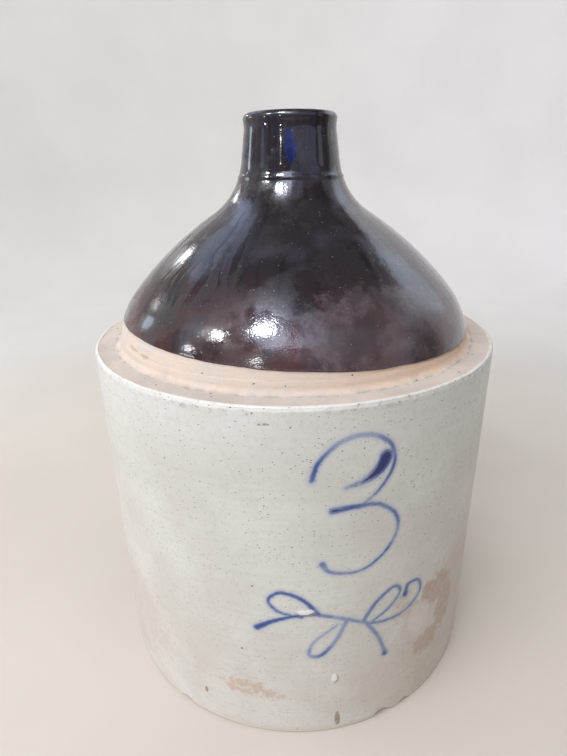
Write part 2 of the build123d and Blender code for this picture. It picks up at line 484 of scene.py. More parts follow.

# Shoulder dome: the thrown bell of clay that stands on the ledge.
# Only a band of it shows bare between the ledge and the brown glaze, toasted orange in the kiln and painted
# brighter towards +X as painted light.
DOME_FOOT = (116.0, LEDGE)
DOME_LEAN = 4.8
DOME_BENDS = ((54.5, 40.2), (232.0, 57.7), (-41.9, 19.0))
DOME_WALL = 9.5
GLAZE = 0.6
UNDER_GLAZE = GLAZE + 0.3
BAND_LEAN = 24.0
BAND_TOP = 247.0
BAND_SUNK = 0.2
BAND_LUMPS = ((0.2, 14.0), (0.1, 2.5))
NECK_RING = 20.1

# The bare band has fine steps. The clay above it has coarse ones, because the glaze hides it.
dome_section = [(115.7, SEAT)] + outline(DOME_FOOT, DOME_LEAN, ((DOME_BENDS[0][0], BAND_LEAN),), GLAZE, 0.7)
dome_section += outline(DOME_FOOT, DOME_LEAN, DOME_BENDS, UNDER_GLAZE, 4.0)[7:]
dome_section += [(NECK_RING, 325.6), (NECK_RING, 324.6)]
dome_section += outline(DOME_FOOT, DOME_LEAN, DOME_BENDS, DOME_WALL, 6.0)[::-1] + [(SEAT_INSIDE, SEAT)]


def dome_finish(turn, radius, height):
    """The bare band sunk a little and left uneven."""
    if height < BAND_TOP and radius > 106.0:
        radius -= BAND_SUNK + rough(turn, radius, height, BAND_LUMPS)
    return turn, radius, height


show(
    thrown("shoulder_dome_clay", dome_section, ((0, 360, 360),), dome_finish),
    shoulder_clay, "bare_clay", "shoulder_dome",
)

# Luting bead: the slip and soft clay that sealed the dome to the ledge, wiped hollow with a finger.
# It runs smoothly out of the band above it and ends on the ledge in a broken, dirty edge.
BEAD_FOOT = (118.9, 226.8)
BEAD_CREST = (115.1, 231.0)
BEAD_RAGGED = ((0.35, 20.0), (0.06, 3.0))

# From its root in the seat out on to the ledge, up the wiped hollow, and thin against the band.
bead_section = [(113.0, 224.2), (117.6, 224.2), (117.6, 225.8)]
bead_section += [(120.6, 225.8), (121.0, 226.3), (119.9, 226.62)]
bead_section += [
    (BEAD_FOOT[0] + (BEAD_CREST[0] - BEAD_FOOT[0]) * math.sin(sweep),
     BEAD_CREST[1] + (BEAD_FOOT[1] - BEAD_CREST[1]) * math.cos(sweep))
    for sweep in (math.radians(5 * step) for step in range(17))
]
bead_section += [(114.75, 232.2), (114.2, 233.6), (113.4, 234.8)]


def bead_finish(turn, radius, height):
    """The bead's edge on the ledge left ragged, and its face uneven."""
    if height > 226.0 and radius > 114.6:
        edge = share(radius, 115.8, 120.0)
        radius += edge * rough(turn, 118, LEDGE, BEAD_RAGGED)
        height += 0.2 * lumps(turn, radius, height, 14) + edge * 0.05 * lumps(turn, radius, height, 3)
    return turn, radius, height


show(
    thrown("dome_luting_bead", bead_section, ((0, 360, 720),), bead_finish),
    shoulder_clay, "bare_clay", "dome_luting_ring",
)

# White glaze: the grey-white coat over the wall, rolled over the edge of the ledge and wiped off the foot.
# It is pitted, faintly lined by turning, stained in places, and carries the cobalt numeral and sprig. Light
# and shade are painted on it too: paler below the rim, a highlight along the rim's left, shade low towards
# +X and shadows under the blisters.
GLAZE_RADIUS = 132.0
GLAZE_CLEAR = 0.05
GLAZE_FOOT = 9.0
GLAZE_RIM = (224.0, 227.3)
SAG = 0.40
SAG_MOST = 0.56
# Each blister: its turn in degrees, then its height, half width, half height and thickness in mm.
BLISTERS = ((-9.8, 101.0, 4.2, 2.4, 1.1), (-1.6, 47.7, 2.0, 3.4, 0.9), (-11.6, 99.0, 4.0, 1.6, 0.6))

glaze_section = [(131.0, 2.6)]
glaze_section += [(131.0 + math.sin(a), 3.6 - math.cos(a)) for a in (0.4, 0.8, 1.2, 1.57)]
glaze_section += outline((GLAZE_RADIUS, 4.4), 0.0, ((0, 220.0),), fineness=1.25)
glaze_section += outline((GLAZE_RADIUS, 224.4), 0.0, ((3.0, 72.0), (0.5, 180.0)), fineness=0.45)
glaze_section += [(129.4, 225.4), (130.9, 223.6)]


def glaze_swell(turn, height):
    """How far blobs of glaze stand off the wall here, in mm."""
    swell = 0.0
    for centre, level, wide, tall, thick in BLISTERS:
        sideways = (turn - centre) * math.radians(1) * GLAZE_RADIUS / wide
        away = sideways ** 2 + ((height - level) / tall) ** 2
        if away < 1.0:
            swell = max(swell, thick * (1.0 - away) * (0.8 + 0.5 * lumps(turn, 132, height, 1.4)))
    return swell


def glaze_finish(turn, radius, height):
    """The glaze sagged and blistered on the wall, wavy along the foot and uneven on the rim."""
    if radius > 131.3:
        sag = SAG + 0.14 * lumps(turn, 60, height, 80) + 0.06 * lumps(turn, 40, height * 6, 30)
        radius += glaze_swell(turn, height) * 0.5 - min(SAG_MOST, max(0.0, sag))
        radius = min(radius, GLAZE_RADIUS - GLAZE_CLEAR)
    if height < GLAZE_FOOT:
        radius -= chip_depth(turn, height)
        height += (1.0 - height / GLAZE_FOOT) * (0.9 + 1.5 * lumps(turn, 132, 0, 24))
    if height > GLAZE_RIM[0]:
        radius += 0.3 * lumps(turn, 132, 227, 11) * share(height, *GLAZE_RIM)
    return turn, radius, height


# Cobalt strokes: where the slip cup ran, as points of (distance from the front, height, width) in mm.
NUMERAL_TOP = ((-19, 187, 2.6), (-15, 198, 2.0), (-4, 208, 2.2), (10, 210, 2.4), (22, 203, 2.2),
               (25, 191, 1.7), (18, 178, 1.2), (6, 168, 0.9))
NUMERAL_LOW = ((-8, 168, 4.0), (4, 169, 2.6), (17, 168, 2.0), (28, 159, 2.0), (30, 147, 1.8),
               (22, 134, 1.4), (8, 126, 1.5), (-8, 128, 2.0), (-13, 134, 3.4))
NUMERAL_DROP = ((20, 196, 7.4), (17, 190, 6.6), (9, 184, 4.0), (-2, 181, 1.2))
STEM = ((-50, 88, 4.0), (-38, 95, 2.4), (-20, 99, 1.9), (0, 93, 2.2), (20, 84, 1.9), (40, 84, 1.7),
        (52, 93, 1.6), (50, 103, 1.7), (42, 104, 2.2), (40, 97, 3.6))
LEFT_LEAF = ((-14, 98, 2.4), (-24, 110, 2.2), (-36, 115, 2.0), (-43, 109, 1.7), (-37, 101, 1.5),
             (-24, 97, 1.2))
RIGHT_LEAF = ((12, 88, 2.6), (20, 100, 2.2), (31, 107, 2.0), (36, 102, 1.6), (30, 93, 1.4), (18, 86, 1.2))
LOW_LEAF = ((2, 92, 2.4), (-4, 78, 2.2), (-13, 67, 2.4), (-20, 68, 2.0), (-17, 78, 1.4), (-4, 89, 1.2))
TAIL = ((14, 86, 2.4), (22, 73, 2.0), (27, 60, 2.6), (28, 56, 4.2))
STROKES = (NUMERAL_TOP, NUMERAL_LOW, NUMERAL_DROP, STEM, LEFT_LEAF, RIGHT_LEAF, LOW_LEAF, TAIL)
STROKE_STEPS = 7
PAINT_REACH = 9.0


def smooth_line(points, steps):
    """A few points drawn out to a smooth line through them."""
    ends = [points[0], *points, points[-1]]
    line = []
    for p0, p1, p2, p3 in zip(ends, ends[1:], ends[2:], ends[3:]):
        for step in range(steps):
            t = step / steps
            line.append(tuple(
                b + 0.5 * t * (c - a + t * (2 * a - 5 * b + 4 * c - d + t * (3 * b - a - 3 * c + d)))
                for a, b, c, d in zip(p0, p1, p2, p3)
            ))
    return line + [points[-1]]


def stroke_gap(stroke, across, height):
    """Distance in mm from a point of the wall to the edge of a stroke, less than 0 inside it."""
    nearest = PAINT_REACH
    for (x0, z0, w0), (x1, z1, w1) in zip(stroke, stroke[1:]):
        dx, dz = x1 - x0, z1 - z0
        part = share((across - x0) * dx + (height - z0) * dz, 0.0, dx * dx + dz * dz)
        gap = math.hypot(across - x0 - dx * part, height - z0 - dz * part)
        nearest = min(nearest, gap - 0.5 * (w0 + (w1 - w0) * part))
    return nearest


def paint(mesh):
    """Keeps on each point of the glaze its distance to the cobalt strokes."""
    lines = [smooth_line(stroke, STROKE_STEPS) for stroke in STROKES]
    boxes = [[pick(p[axis] for p in line) for axis in (0, 1) for pick in (min, max)] for line in lines]
    gaps = mesh.attributes.new("cobalt_gap", "FLOAT", "POINT")
    for vertex, kept in zip(mesh.vertices, gaps.data):
        kept.value = PAINT_REACH
        x, y, z = vertex.co / MM
        across = math.atan2(x, -y) * GLAZE_RADIUS
        for line, (left, right, low, high) in zip(lines, boxes):
            beside = left - PAINT_REACH < across < right + PAINT_REACH
            if beside and low - PAINT_REACH < z < high + PAINT_REACH:
                kept.value = min(kept.value, stroke_gap(line, across, z))


PINK_STAIN = (0.50, 0.36, 0.29, 1)
RUST_STAIN = (0.62, 0.46, 0.37, 1)
BROWN_SPOT = (0.16, 0.10, 0.06, 1)
FOOT_MARK = (0.26, 0.15, 0.08, 1)
BUBBLE_WHITE = (0.90, 0.90, 0.90, 1)
PALE_CENTRE = (0.72, 0.68, 0.63, 1)
# A warm tint: a real stain low on the left, and painted shade low on the right.
WARM_TINT_AND_SHADE = (0.56, 0.44, 0.36, 1)
# Dark scratch colour, also used for the painted shadows under the blisters.
SCRATCH_AND_SHADOW = (0.20, 0.18, 0.16, 1)
# Each mark: turn in degrees, height, half width and half height in mm, raggedness, strength,
# the share of it that is worn to flecks, and colour.
STAINS = (
    # Painted shade: the wall darker and warmer low on the side towards +X.
    (40, 55, 60, 60, 1.2, 0.45, 0, WARM_TINT_AND_SHADE),
    (-70, 50, 50, 45, 1.9, 0.34, 0.6, WARM_TINT_AND_SHADE),
    (30, 86, 17, 12, 1.8, 0.95, 0.3, PINK_STAIN),
    (35.5, 66, 12, 25, 1.8, 0.95, 0.3, PINK_STAIN),
    (28, 46, 15, 11, 1.8, 0.9, 0.3, PINK_STAIN),
    (16.6, 88, 9, 14, 2, 0.5, 0.7, PINK_STAIN),
    (24, 70, 10, 14, 1.6, 0.7, 0, PALE_CENTRE),
    (-26.5, 37.5, 15, 8, 2.4, 0.85, 0.8, RUST_STAIN),
    (-19.5, 33, 13, 5, 2.4, 0.7, 0.8, RUST_STAIN),
    (-37.9, 22, 1.4, 3.4, 0.8, 0.7, 0, BROWN_SPOT),
    (-0.9, 9.5, 2, 8, 1.4, 0.85, 0.3, FOOT_MARK),
    (-22.4, 118.2, 0.9, 0.9, 0.3, 0.95, 0, BROWN_SPOT),
    (-26, 69.2, 1, 1, 0.3, 0.95, 0, BROWN_SPOT),
    (-17.9, 218.2, 4, 0.7, 2.6, 0.8, 0.9, SCRATCH_AND_SHADOW),
    (9.4, 215.2, 3.6, 0.6, 2.6, 0.8, 0.9, SCRATCH_AND_SHADOW),
    (10.8, 213.8, 3.4, 0.5, 2.6, 0.8, 0.9, SCRATCH_AND_SHADOW),
)
# Blisters: each white patch has a dark patch painted just below it as its shadow.
BUBBLES = (
    # Painted shadow under the larger blister.
    (-9.2, 99.2, 6.6, 2.4, 1.4, 0.45, 0, SCRATCH_AND_SHADOW),
    (-9.7, 101, 6.2, 2.6, 1.8, 0.95, 0, BUBBLE_WHITE),
    # Painted shadow under the smaller blister.
    (-1.6, 45.4, 2.3, 4.6, 1.5, 0.5, 0, SCRATCH_AND_SHADOW),
    (-2.1, 46.6, 2, 4, 1.7, 0.9, 0, BUBBLE_WHITE),
)
COBALT_SOAKED = (0.34, 0.45, 0.64, 1)
COBALT_THIN = (0.12, 0.19, 0.42, 1)
COBALT_FULL = (0.045, 0.085, 0.30, 1)
COBALT_POOL = (0.012, 0.018, 0.12, 1)


def cobalt(tree, place, colour):
    """The colour of the glaze with the cobalt strokes soaked into it."""
    gap = node(tree, "Attribute", attribute_name="cobalt_gap").outputs["Fac"]
    wander = less(tree, grain(tree, place, 420.0, 3.0), 0.5)
    gap = total(tree, gap, times(tree, wander, 1.1))
    load = fade(tree, grain(tree, place, 34.0, 3.0), 0.30, 0.62)
    strength = total(tree, 0.55, times(tree, load, 0.45))
    return laid(
        tree, colour,
        (times(tree, fade(tree, gap, 3.2, 0.0), strength), 0.50, COBALT_SOAKED),
        (fade(tree, gap, 1.0, -0.8), strength, tint(tree, load, COBALT_THIN, COBALT_FULL)),
        (fade(tree, gap, -0.9, -1.9), 0.95, COBALT_POOL),
    )


MEAN_GLAZE = (0.68, 0.665, 0.62, 1)
PALE_GLAZE = (0.75, 0.74, 0.70, 1)
GREY_GLAZE = (0.67, 0.655, 0.61, 1)
TURNING_LINE = (0.50, 0.48, 0.44, 1)
# Painted light: the next colour makes the upper wall paler below the rim.
PAINTED_LIGHT_GLAZE = (0.82, 0.82, 0.815, 1)
RIM_SCUFF = (0.50, 0.46, 0.42, 1)
# Painted highlight: the next colour paints the rim white along its left side.
RIM_PAINTED_HIGHLIGHT = (0.80, 0.79, 0.77, 1)
WARM_GLAZE = (0.62, 0.50, 0.39, 1)
MOTTLE = (0.55, 0.54, 0.50, 1)
PIT = (0.09, 0.07, 0.06, 1)
# Pairs in metres: where a finish begins and where it is full.
BELOW_RIM = (0.185, 0.212)
SCUFFED_RIM = (0.2215, 0.2240)
RIM_EDGE = (0.2245, 0.2258)
# The side, towards -X, where the rim's painted highlight lies.
PAINTED_HIGHLIGHT_SIDE = (0.10, -0.02)
WARM_FOOT = (0.11, 0.0)
PITTED_TOP = (0.09, 0.19)


def rim_layers(tree, place, height):
    """Layers that paint light paler below the rim, scuff the rim, and paint a white highlight on the rim's
    left.
    """
    scuffs = fade(tree, grain(tree, place, 190.0, 5.0, 0.7), 0.50, 0.60)
    scuffed = times(tree, fade(tree, height, *SCUFFED_RIM), scuffs)
    broken = fade(tree, grain(tree, place, 70.0, 5.0, 0.65), 0.36, 0.60)
    left = fade(tree, across_of(tree, place), *PAINTED_HIGHLIGHT_SIDE)
    return (
        # Painted light on the upper wall, paler towards the rim.
        (fade(tree, height, *BELOW_RIM), 0.40, PAINTED_LIGHT_GLAZE),
        (scuffed, 0.5, RIM_SCUFF),
        # Painted highlight along the rim's left.
        (times(tree, fade(tree, height, *RIM_EDGE), left), broken, RIM_PAINTED_HIGHLIGHT),
    )


def mark_layers(tree, place, marks):
    """The layers of these marks, each worn to flecks as far as its share of them."""
    flecks = fade(tree, grain(tree, place, 260.0, 6.0, 0.75), 0.44, 0.56)
    for turn, level, wide, tall, ragged, strength, flecked, shade in marks:
        worn = total(tree, 1.0 - flecked, times(tree, flecks, flecked))
        mask = patch(tree, place, turn, GLAZE_RADIUS, level, wide, tall, ragged)
        yield times(tree, mask, worn), strength, shade


def pits(tree, place, height):
    """The mask of pits and specks, crowded towards the top."""
    crowded = total(tree, 0.42, times(tree, fade(tree, height, *PITTED_TOP), 0.58))
    flat = stretched(tree, place, 1.0, 1.0, 2.2)
    fine = times(tree, specks(tree, place, 640.0, 0.28, 4.5), 0.6)
    large = specks(tree, flat, 300.0, 0.19, 8.0)
    top = times(tree, specks(tree, flat, 520.0, 0.33, 6.0), crowded)
    return most(tree, fine, large, top)


def white_glaze():
    """Grey-white stoneware glaze with pits, turning lines, stains and cobalt under it, and painted light
    and shade.
    """
    material, tree, shader, place = principled("white stoneware glaze", MEAN_GLAZE, 0.3)
    height = height_of(tree, place)
    cloud = grain(tree, place, 19.0, 6.0, 0.62)
    lines = grain(tree, stretched(tree, place, 9.0, 9.0, 420.0), 1.0, 4.0, 0.6)
    warm = times(tree, fade(tree, height, *WARM_FOOT), fade(tree, grain(tree, place, 20.0, 4.0), 0.4, 0.7))
    pitted = pits(tree, place, height)
    colour = laid(
        tree, tint(tree, fade(tree, cloud, 0.34, 0.66), PALE_GLAZE, GREY_GLAZE),
        (fade(tree, lines, 0.45, 0.8), 0.25, TURNING_LINE),
        *rim_layers(tree, place, height),
        (warm, 0.4, WARM_GLAZE),
        *mark_layers(tree, place, STAINS),
        (fade(tree, grain(tree, place, 330.0, 5.0, 0.7), 0.46, 0.68), 0.30, MOTTLE),
    )
    colour = cobalt(tree, place, colour)
    colour = laid(tree, colour, *mark_layers(tree, place, BUBBLES), (pitted, 0.92, PIT))
    tree.links.new(colour, shader.inputs["Base Color"])
    dull = total(tree, 0.20, times(tree, cloud, 0.34))
    tree.links.new(dull, shader.inputs["Roughness"])
    skin = total(tree, times(tree, lines, 0.35), times(tree, grain(tree, place, 500.0), 0.2))
    relief(tree, shader, less(tree, skin, times(tree, pitted, 0.9)), 0.0003)
    return material


# The painted front has finer steps than the rest of the round: start and sweep in degrees, and steps.
PAINTED_FRONT = (-30.0, 60.0, 170)
PLAIN_ROUND = (30.0, 300.0, 210)

glaze_mesh = thrown("white_glaze", glaze_section, (PAINTED_FRONT, PLAIN_ROUND), glaze_finish)
paint(glaze_mesh)
show(glaze_mesh, white_glaze(), "white_glaze", "white_glaze_coat")

# Brown glaze: a shiny dark slip glaze over dome, neck and lip, dipped to a line that runs out of level.
# It is near black on the neck and redder where it ran thin above the bare band, with runs and pinholes. A
# bluish sheen, a sheen low towards +X and glints at the pinholes are painted into its colour.
NECK_BENDS = ((-41.9, 7.8), (0, 17.2), (-18.0, -12.0), (3.4, 90.0), (0, 2.37), (4.0, 180.0))
EDGE_LEVEL = 238.0
EDGE_SLOPE = 0.05
EDGE_LOW_SIDE = 78.0
EDGE_FADE = 60.0
EDGE_WAVES = ((0.4, 40.0), (0.2, 7.0))
NECK_FOOT = 325.8
SEAM_RISE = 0.5
SEAM_WIDTH = 0.9

dome_line = outline(DOME_FOOT, DOME_LEAN, DOME_BENDS, 0.0, 1.2)


def dome_radius(height):
    """The radius of the dome's outline at a height."""
    above = min(len(dome_line) - 1, max(1, bisect.bisect(dome_line, height, key=lambda point: point[1])))
    (r0, z0), (r1, z1) = dome_line[above - 1], dome_line[above]
    return r0 + (r1 - r0) * (height - z0) / (z1 - z0)


def coat_side(inset, fineness):
    """Points of the coat's outside or inside, from the dipped line up over the lip."""
    points = outline(DOME_FOOT, DOME_LEAN, DOME_BENDS + NECK_BENDS, inset, fineness)
    return [(r, z) for r, z in points if z > EDGE_LEVEL + GLAZE or r < 60.0]


brown_section = [
    (dome_radius(EDGE_LEVEL) - GLAZE * (1 - math.sin(a)), EDGE_LEVEL + GLAZE * (1 - math.cos(a)))
    for a in (math.radians(15 * step) for step in range(6))
]
brown_section += coat_side(0.0, 1.2) + coat_side(GLAZE, 6.0)[::-1]


def brown_finish(turn, radius, height):
    """The lower edge dipped out of level, and the coat rippled, with the seam at the neck's foot."""
    if radius > 60.0:
        depth = dome_radius(height) - radius
        dip = -EDGE_SLOPE * radius * math.cos(math.radians(turn - EDGE_LOW_SIDE))
        dip += rough(turn, 115, EDGE_LEVEL, EDGE_WAVES)
        height += dip * (1.0 - share(height, EDGE_LEVEL, EDGE_LEVEL + EDGE_FADE)) ** 2
        radius = dome_radius(height) - depth
    if radius > 22.0:
        ripple = 0.10 * lumps(turn, radius * 0.4, height * 3.0, 30)
        ripple += 0.16 * lumps(turn, radius, height * 0.3, 26)
        radius -= 0.16 + ripple * 0.4
        if radius < 45.0:
            radius += SEAM_RISE * math.exp(-(((height - NECK_FOOT) / SEAM_WIDTH) ** 2))
    return turn, radius, height


def drip_group():
    """Runs of glaze down the slope: noise drawn out from the mouth towards the foot."""
    group, given, out = shader_group("glaze runs", "Run", Runs=10.0, Length=10.0)
    place = given.outputs["Place"]
    flat = stretched(group, place, 1.0, 1.0, 0.0)
    round_it = node(group, "VectorMath", {0: flat}, operation="NORMALIZE").outputs[0]
    scaling = {0: round_it, "Scale": given.outputs["Runs"]}
    spread = node(group, "VectorMath", scaling, operation="SCALE").outputs[0]
    fall = node(group, "CombineXYZ", {"Z": times(group, height_of(group, place), given.outputs["Length"])})
    joined = join(group, "ADD", spread, fall.outputs[0])
    group.links.new(grain(group, joined, 1.0, 1.5, 0.4), out.inputs["Run"])
    return group


drip_tree = drip_group()


def drips(tree, place, runs, length):
    """Noise in runs down the slope: so many to a radian, and so many breaks to the metre."""
    return placed_group(tree, drip_tree, place, Runs=runs, Length=length)


RUN_BLACK = (0.006, 0.005, 0.006, 1)
# Painted reflection: cool clouds that give the glaze a bluish sheen.
PAINTED_COOL_SHEEN = (0.050, 0.046, 0.070, 1)
# Painted sheen: a milky tone low on the dome towards +X.
PAINTED_SHEEN_TONE = (0.195, 0.168, 0.192, 1)
NECK_BLUE = (0.022, 0.027, 0.055, 1)
CLEAR_BLUE = (0.006, 0.014, 0.11, 1)
# Painted glints: the pinholes are painted paler so they sparkle.
PINHOLE_GLINT = (0.42, 0.38, 0.36, 1)
# Heights in metres where a finish begins and where it is full.
RED_CLOUDS = (0.285, 0.240)
RED_EDGE = (0.250, 0.232)
NECK_FROM = (0.318, 0.332)
# The hazy side lies between two turns. Its first edge leans by so many radians to a metre of height.
HAZE_FROM = math.radians(21.0)
HAZE_TO = math.radians(115.0)
HAZE_LEVEL = 0.249
HAZE_LEAN = 2.4
HAZE_TEAR = 0.5
HAZE_EASE = 0.6
STREAK_WANDER = (0.014, 0.014, 0.0)
# Ragged patches, with the values that patch takes.
STREAK_SIDE = (-62.0, 78.0, 288.0, 46.0, 34.0, 0.5)
# Where the painted sheen lies, low on the dome towards +X.
PAINTED_SHEEN_SIDE = (18.0, 105.0, 251.0, 60.0, 25.0, 1.2)
BLUE_RUN = (-12.0, 29.0, 341.5, 4.2, 12.0, 1.4)
# The skin's unevenness: patches to the metre, and depth.
SKIN_GRAINS = ((60.0, 0.35), (170.0, 0.10), (1000.0, 0.08))


def hazy_side(tree, place, height):
    """The mask of the duller glaze on the side towards +X, from a torn edge that leans with the height."""
    apart = node(tree, "SeparateXYZ", {"Vector": place}).outputs
    turn = sums(tree, "ARCTAN2", apart["X"], times(tree, apart["Y"], -1.0))
    edge = total(tree, HAZE_FROM, times(tree, less(tree, height, HAZE_LEVEL), HAZE_LEAN))
    tear = times(tree, less(tree, grain(tree, place, 70.0, 6.0, 0.65), 0.5), HAZE_TEAR)
    past = total(tree, less(tree, turn, edge), tear)
    return times(tree, fade(tree, past, 0.0, 0.05), fade(tree, turn, HAZE_TO, HAZE_TO - HAZE_EASE))


def haze(tree, place, height):
    """How much of a dull coat lies on the glaze: torn patches and the hazy side, less clear streaks."""
    shaken = node(tree, "TexNoise", {"Vector": place, "Scale": 45.0, "Detail": 2.0}).outputs["Color"]
    shift = join(tree, "SUBTRACT", shaken, (0.5, 0.5, 0.5))
    wavy = join(tree, "ADD", join(tree, "MULTIPLY", shift, STREAK_WANDER), place)
    side = total(tree, 0.08, patch(tree, place, *STREAK_SIDE))
    streaks = times(tree, fade(tree, drips(tree, wavy, 17.0, 14.0), 0.54, 0.58), side)
    torn = times(tree, fade(tree, grain(tree, place, 36.0, 6.0, 0.60), 0.42, 0.53), 0.45)
    torn = most(tree, torn, times(tree, hazy_side(tree, place, height), 0.6))
    dull = most(tree, less(tree, total(tree, 0.10, torn), streaks), 0.0)
    dusty = total(tree, 0.55, times(tree, grain(tree, place, 800.0), 0.9))
    return times(tree, dull, dusty)


def brown_skin(tree, place, runs, neck, pins):
    """The height of the glaze's fine relief, calmer on the neck."""
    parts = [times(tree, grain(tree, place, scale, 1.0), depth) for scale, depth in SKIN_GRAINS]
    skin = total(tree, times(tree, runs, 0.5), *parts)
    skin = times(tree, skin, less(tree, 1.0, times(tree, neck, 0.8)))
    return less(tree, skin, times(tree, pins, 0.25))


def brown_glaze(name, thin, thick):
    """Shiny iron-brown slip glaze: mottled, run downwards, with pinholes and a thin red edge, and a painted
    sheen and painted glints.
    """
    material, tree, shader, place = principled(name, thick, 0.36)
    height = height_of(tree, place)
    runs = drips(tree, place, 7.0, 14.0)
    fine_runs = drips(tree, place, 22.0, 30.0)
    cloud = grain(tree, place, 26.0, 6.0, 0.62)
    neck = fade(tree, height, *NECK_FROM)
    pins = most(tree, specks(tree, place, 620.0, 0.24, 5.0), specks(tree, place, 300.0, 0.14, 8.0))
    low = times(tree, fade(tree, height, *RED_CLOUDS), fade(tree, cloud, 0.36, 0.62))
    redness = most(tree, low, times(tree, fade(tree, height, *RED_EDGE), 0.8))
    sheen_breaks = fade(tree, grain(tree, place, 52.0, 6.0, 0.62), 0.43, 0.58)
    sheen_amount = total(tree, 0.18, times(tree, sheen_breaks, 0.22))
    colour = laid(
        tree, tint(tree, redness, thick, thin),
        (fade(tree, runs, 0.54, 0.70), 0.7, RUN_BLACK),
        # Painted bluish sheen in cool clouds.
        (fade(tree, grain(tree, place, 38.0, 5.0), 0.50, 0.72), 0.5, PAINTED_COOL_SHEEN),
        # Painted sheen low on the dome towards +X.
        (patch(tree, place, *PAINTED_SHEEN_SIDE), sheen_amount, PAINTED_SHEEN_TONE),
        (times(tree, neck, fade(tree, fine_runs, 0.44, 0.66)), 0.5, NECK_BLUE),
        (patch(tree, place, *BLUE_RUN), 0.9, CLEAR_BLUE),
        # Pinholes painted paler as painted glints.
        (pins, 0.5, PINHOLE_GLINT),
    )
    tree.links.new(colour, shader.inputs["Base Color"])
    dull = times(tree, cloud, less(tree, 0.12, times(tree, neck, 0.09)))
    tree.links.new(total(tree, 0.035, dull), shader.inputs["Roughness"])
    shader.inputs["Specular IOR Level"].default_value = 0.34
    tree.links.new(haze(tree, place, height), shader.inputs["Coat Weight"])
    shader.inputs["Coat Roughness"].default_value = 0.30
    shader.inputs["Coat IOR"].default_value = 1.55
    relief(tree, shader, brown_skin(tree, place, runs, neck, pins), 0.0008)
    return material


dark_glaze = brown_glaze("brown slip glaze", thin=(0.075, 0.026, 0.024, 1), thick=(0.020, 0.0145, 0.018, 1))
show(
    thrown("brown_glaze", brown_section, ((0, 360, 440),), brown_finish),
    dark_glaze, "brown_glaze", "brown_glaze_coat",
)

# Strap handle: a pulled strap of clay bent from the neck to the dome at the back, under the same glaze.
# Both ends are pressed on with a thumb, so they flare where they meet the jug.
STRAP_WIDTH = 27.0
STRAP_THICK = 14.0
STRAP_SIDES = 40
STRAP_CENTRE = ((22.0, 334.0), (57.0, 342.0), (83.0, 321.0), (88.5, 295.0), (85.0, 260.0))
STRAP_STEPS = 26
STRAP_EASING = 60
FLARE = 0.40
FLARE_RUN = 8.0
NECK_MEETS = 30.0
DOME_MEETS = 279.0
STRAP_BEND = 70.0
STRAP_SQUARENESS = 3.2
STRAP_ROUGHNESS = 0.3
STRAP_LUMP = 16.0
THUMB_GROOVE = 0.16
GROOVE_WIDTH = 0.4

strap_line = [Vector((0, y, z)) for y, z in smooth_line(STRAP_CENTRE, STRAP_STEPS)]
for easing in range(STRAP_EASING):
    eased = [(a + b * 2 + c) / 4 for a, b, c in zip(strap_line, strap_line[1:], strap_line[2:])]
    strap_line[1:-1] = eased


def strap_station(index):
    """Where the strap's section stands at a point of its line, with its flare and its direction."""
    point = strap_line[index]
    ahead = strap_line[min(index + 1, len(strap_line) - 1)]
    behind = strap_line[max(index - 1, 0)]
    run = (ahead - behind).normalized()
    out = Vector((0, -run.z, run.y))
    clear = max(0.0, point.y - NECK_MEETS)
    if point.y >= STRAP_BEND:
        clear = min(clear, max(0.0, point.z - DOME_MEETS))
    flare = 1.0 + FLARE * math.exp(-((clear / FLARE_RUN) ** 2))
    turn = Matrix((Vector((1, 0, 0)), out, run)).transposed().to_4x4()
    size = Matrix.Diagonal((STRAP_WIDTH / 2 * flare, STRAP_THICK / 2 * flare, 1.0, 1.0))
    return Matrix.Scale(MM, 4) @ Matrix.Translation(point) @ turn @ size


def strap_mesh(name):
    """A rounded strap section with a thumb groove, drawn along its line a station at a time."""
    mesh = bpy.data.meshes.new(name)
    bm = bmesh.new()
    ring = bmesh.ops.create_circle(bm, segments=STRAP_SIDES, radius=1.0, cap_ends=False)["verts"]
    edges = list(bm.edges)
    for vertex in ring:
        x, y, z = vertex.co
        fuller = (abs(x) ** STRAP_SQUARENESS + abs(y) ** STRAP_SQUARENESS) ** (-1 / STRAP_SQUARENESS)
        groove = THUMB_GROOVE * math.exp(-((x * fuller / GROOVE_WIDTH) ** 2)) * (y > 0)
        vertex.co = (x * fuller, y * fuller - groove, z)
    behind = strap_station(0)
    bmesh.ops.transform(bm, matrix=behind, verts=ring)
    for index in range(1, len(strap_line)):
        grown = bmesh.ops.extrude_edge_only(bm, edges=edges)["geom"]
        ring = [item for item in grown if isinstance(item, bmesh.types.BMVert)]
        edges = [item for item in grown if isinstance(item, bmesh.types.BMEdge)]
        station = strap_station(index)
        bmesh.ops.transform(bm, matrix=station @ behind.inverted(), verts=ring)
        behind = station
    bmesh.ops.holes_fill(bm, edges=[edge for edge in bm.edges if edge.is_boundary], sides=STRAP_SIDES)
    for vertex in bm.verts:
        lump = noise.fractal(vertex.co / (STRAP_LUMP * MM), 1.0, 2.0, 3)
        vertex.co += vertex.normal * STRAP_ROUGHNESS * MM * lump
    return smoothed(bm, mesh)


show(
    strap_mesh("strap_handle_glazed"),
    dark_glaze, "brown_glaze", "strap_handle", "handle_upper_lute", "handle_lower_lute",
)

# Slip lining: the thin brown slip that was poured in and swirled round to seal the inside.
# It shows only through the mouth.
thin_slip = brown_glaze("slip lining", thin=(0.12, 0.055, 0.030, 1), thick=(0.07, 0.034, 0.022, 1))
dress("slip_lining", thin_slip)

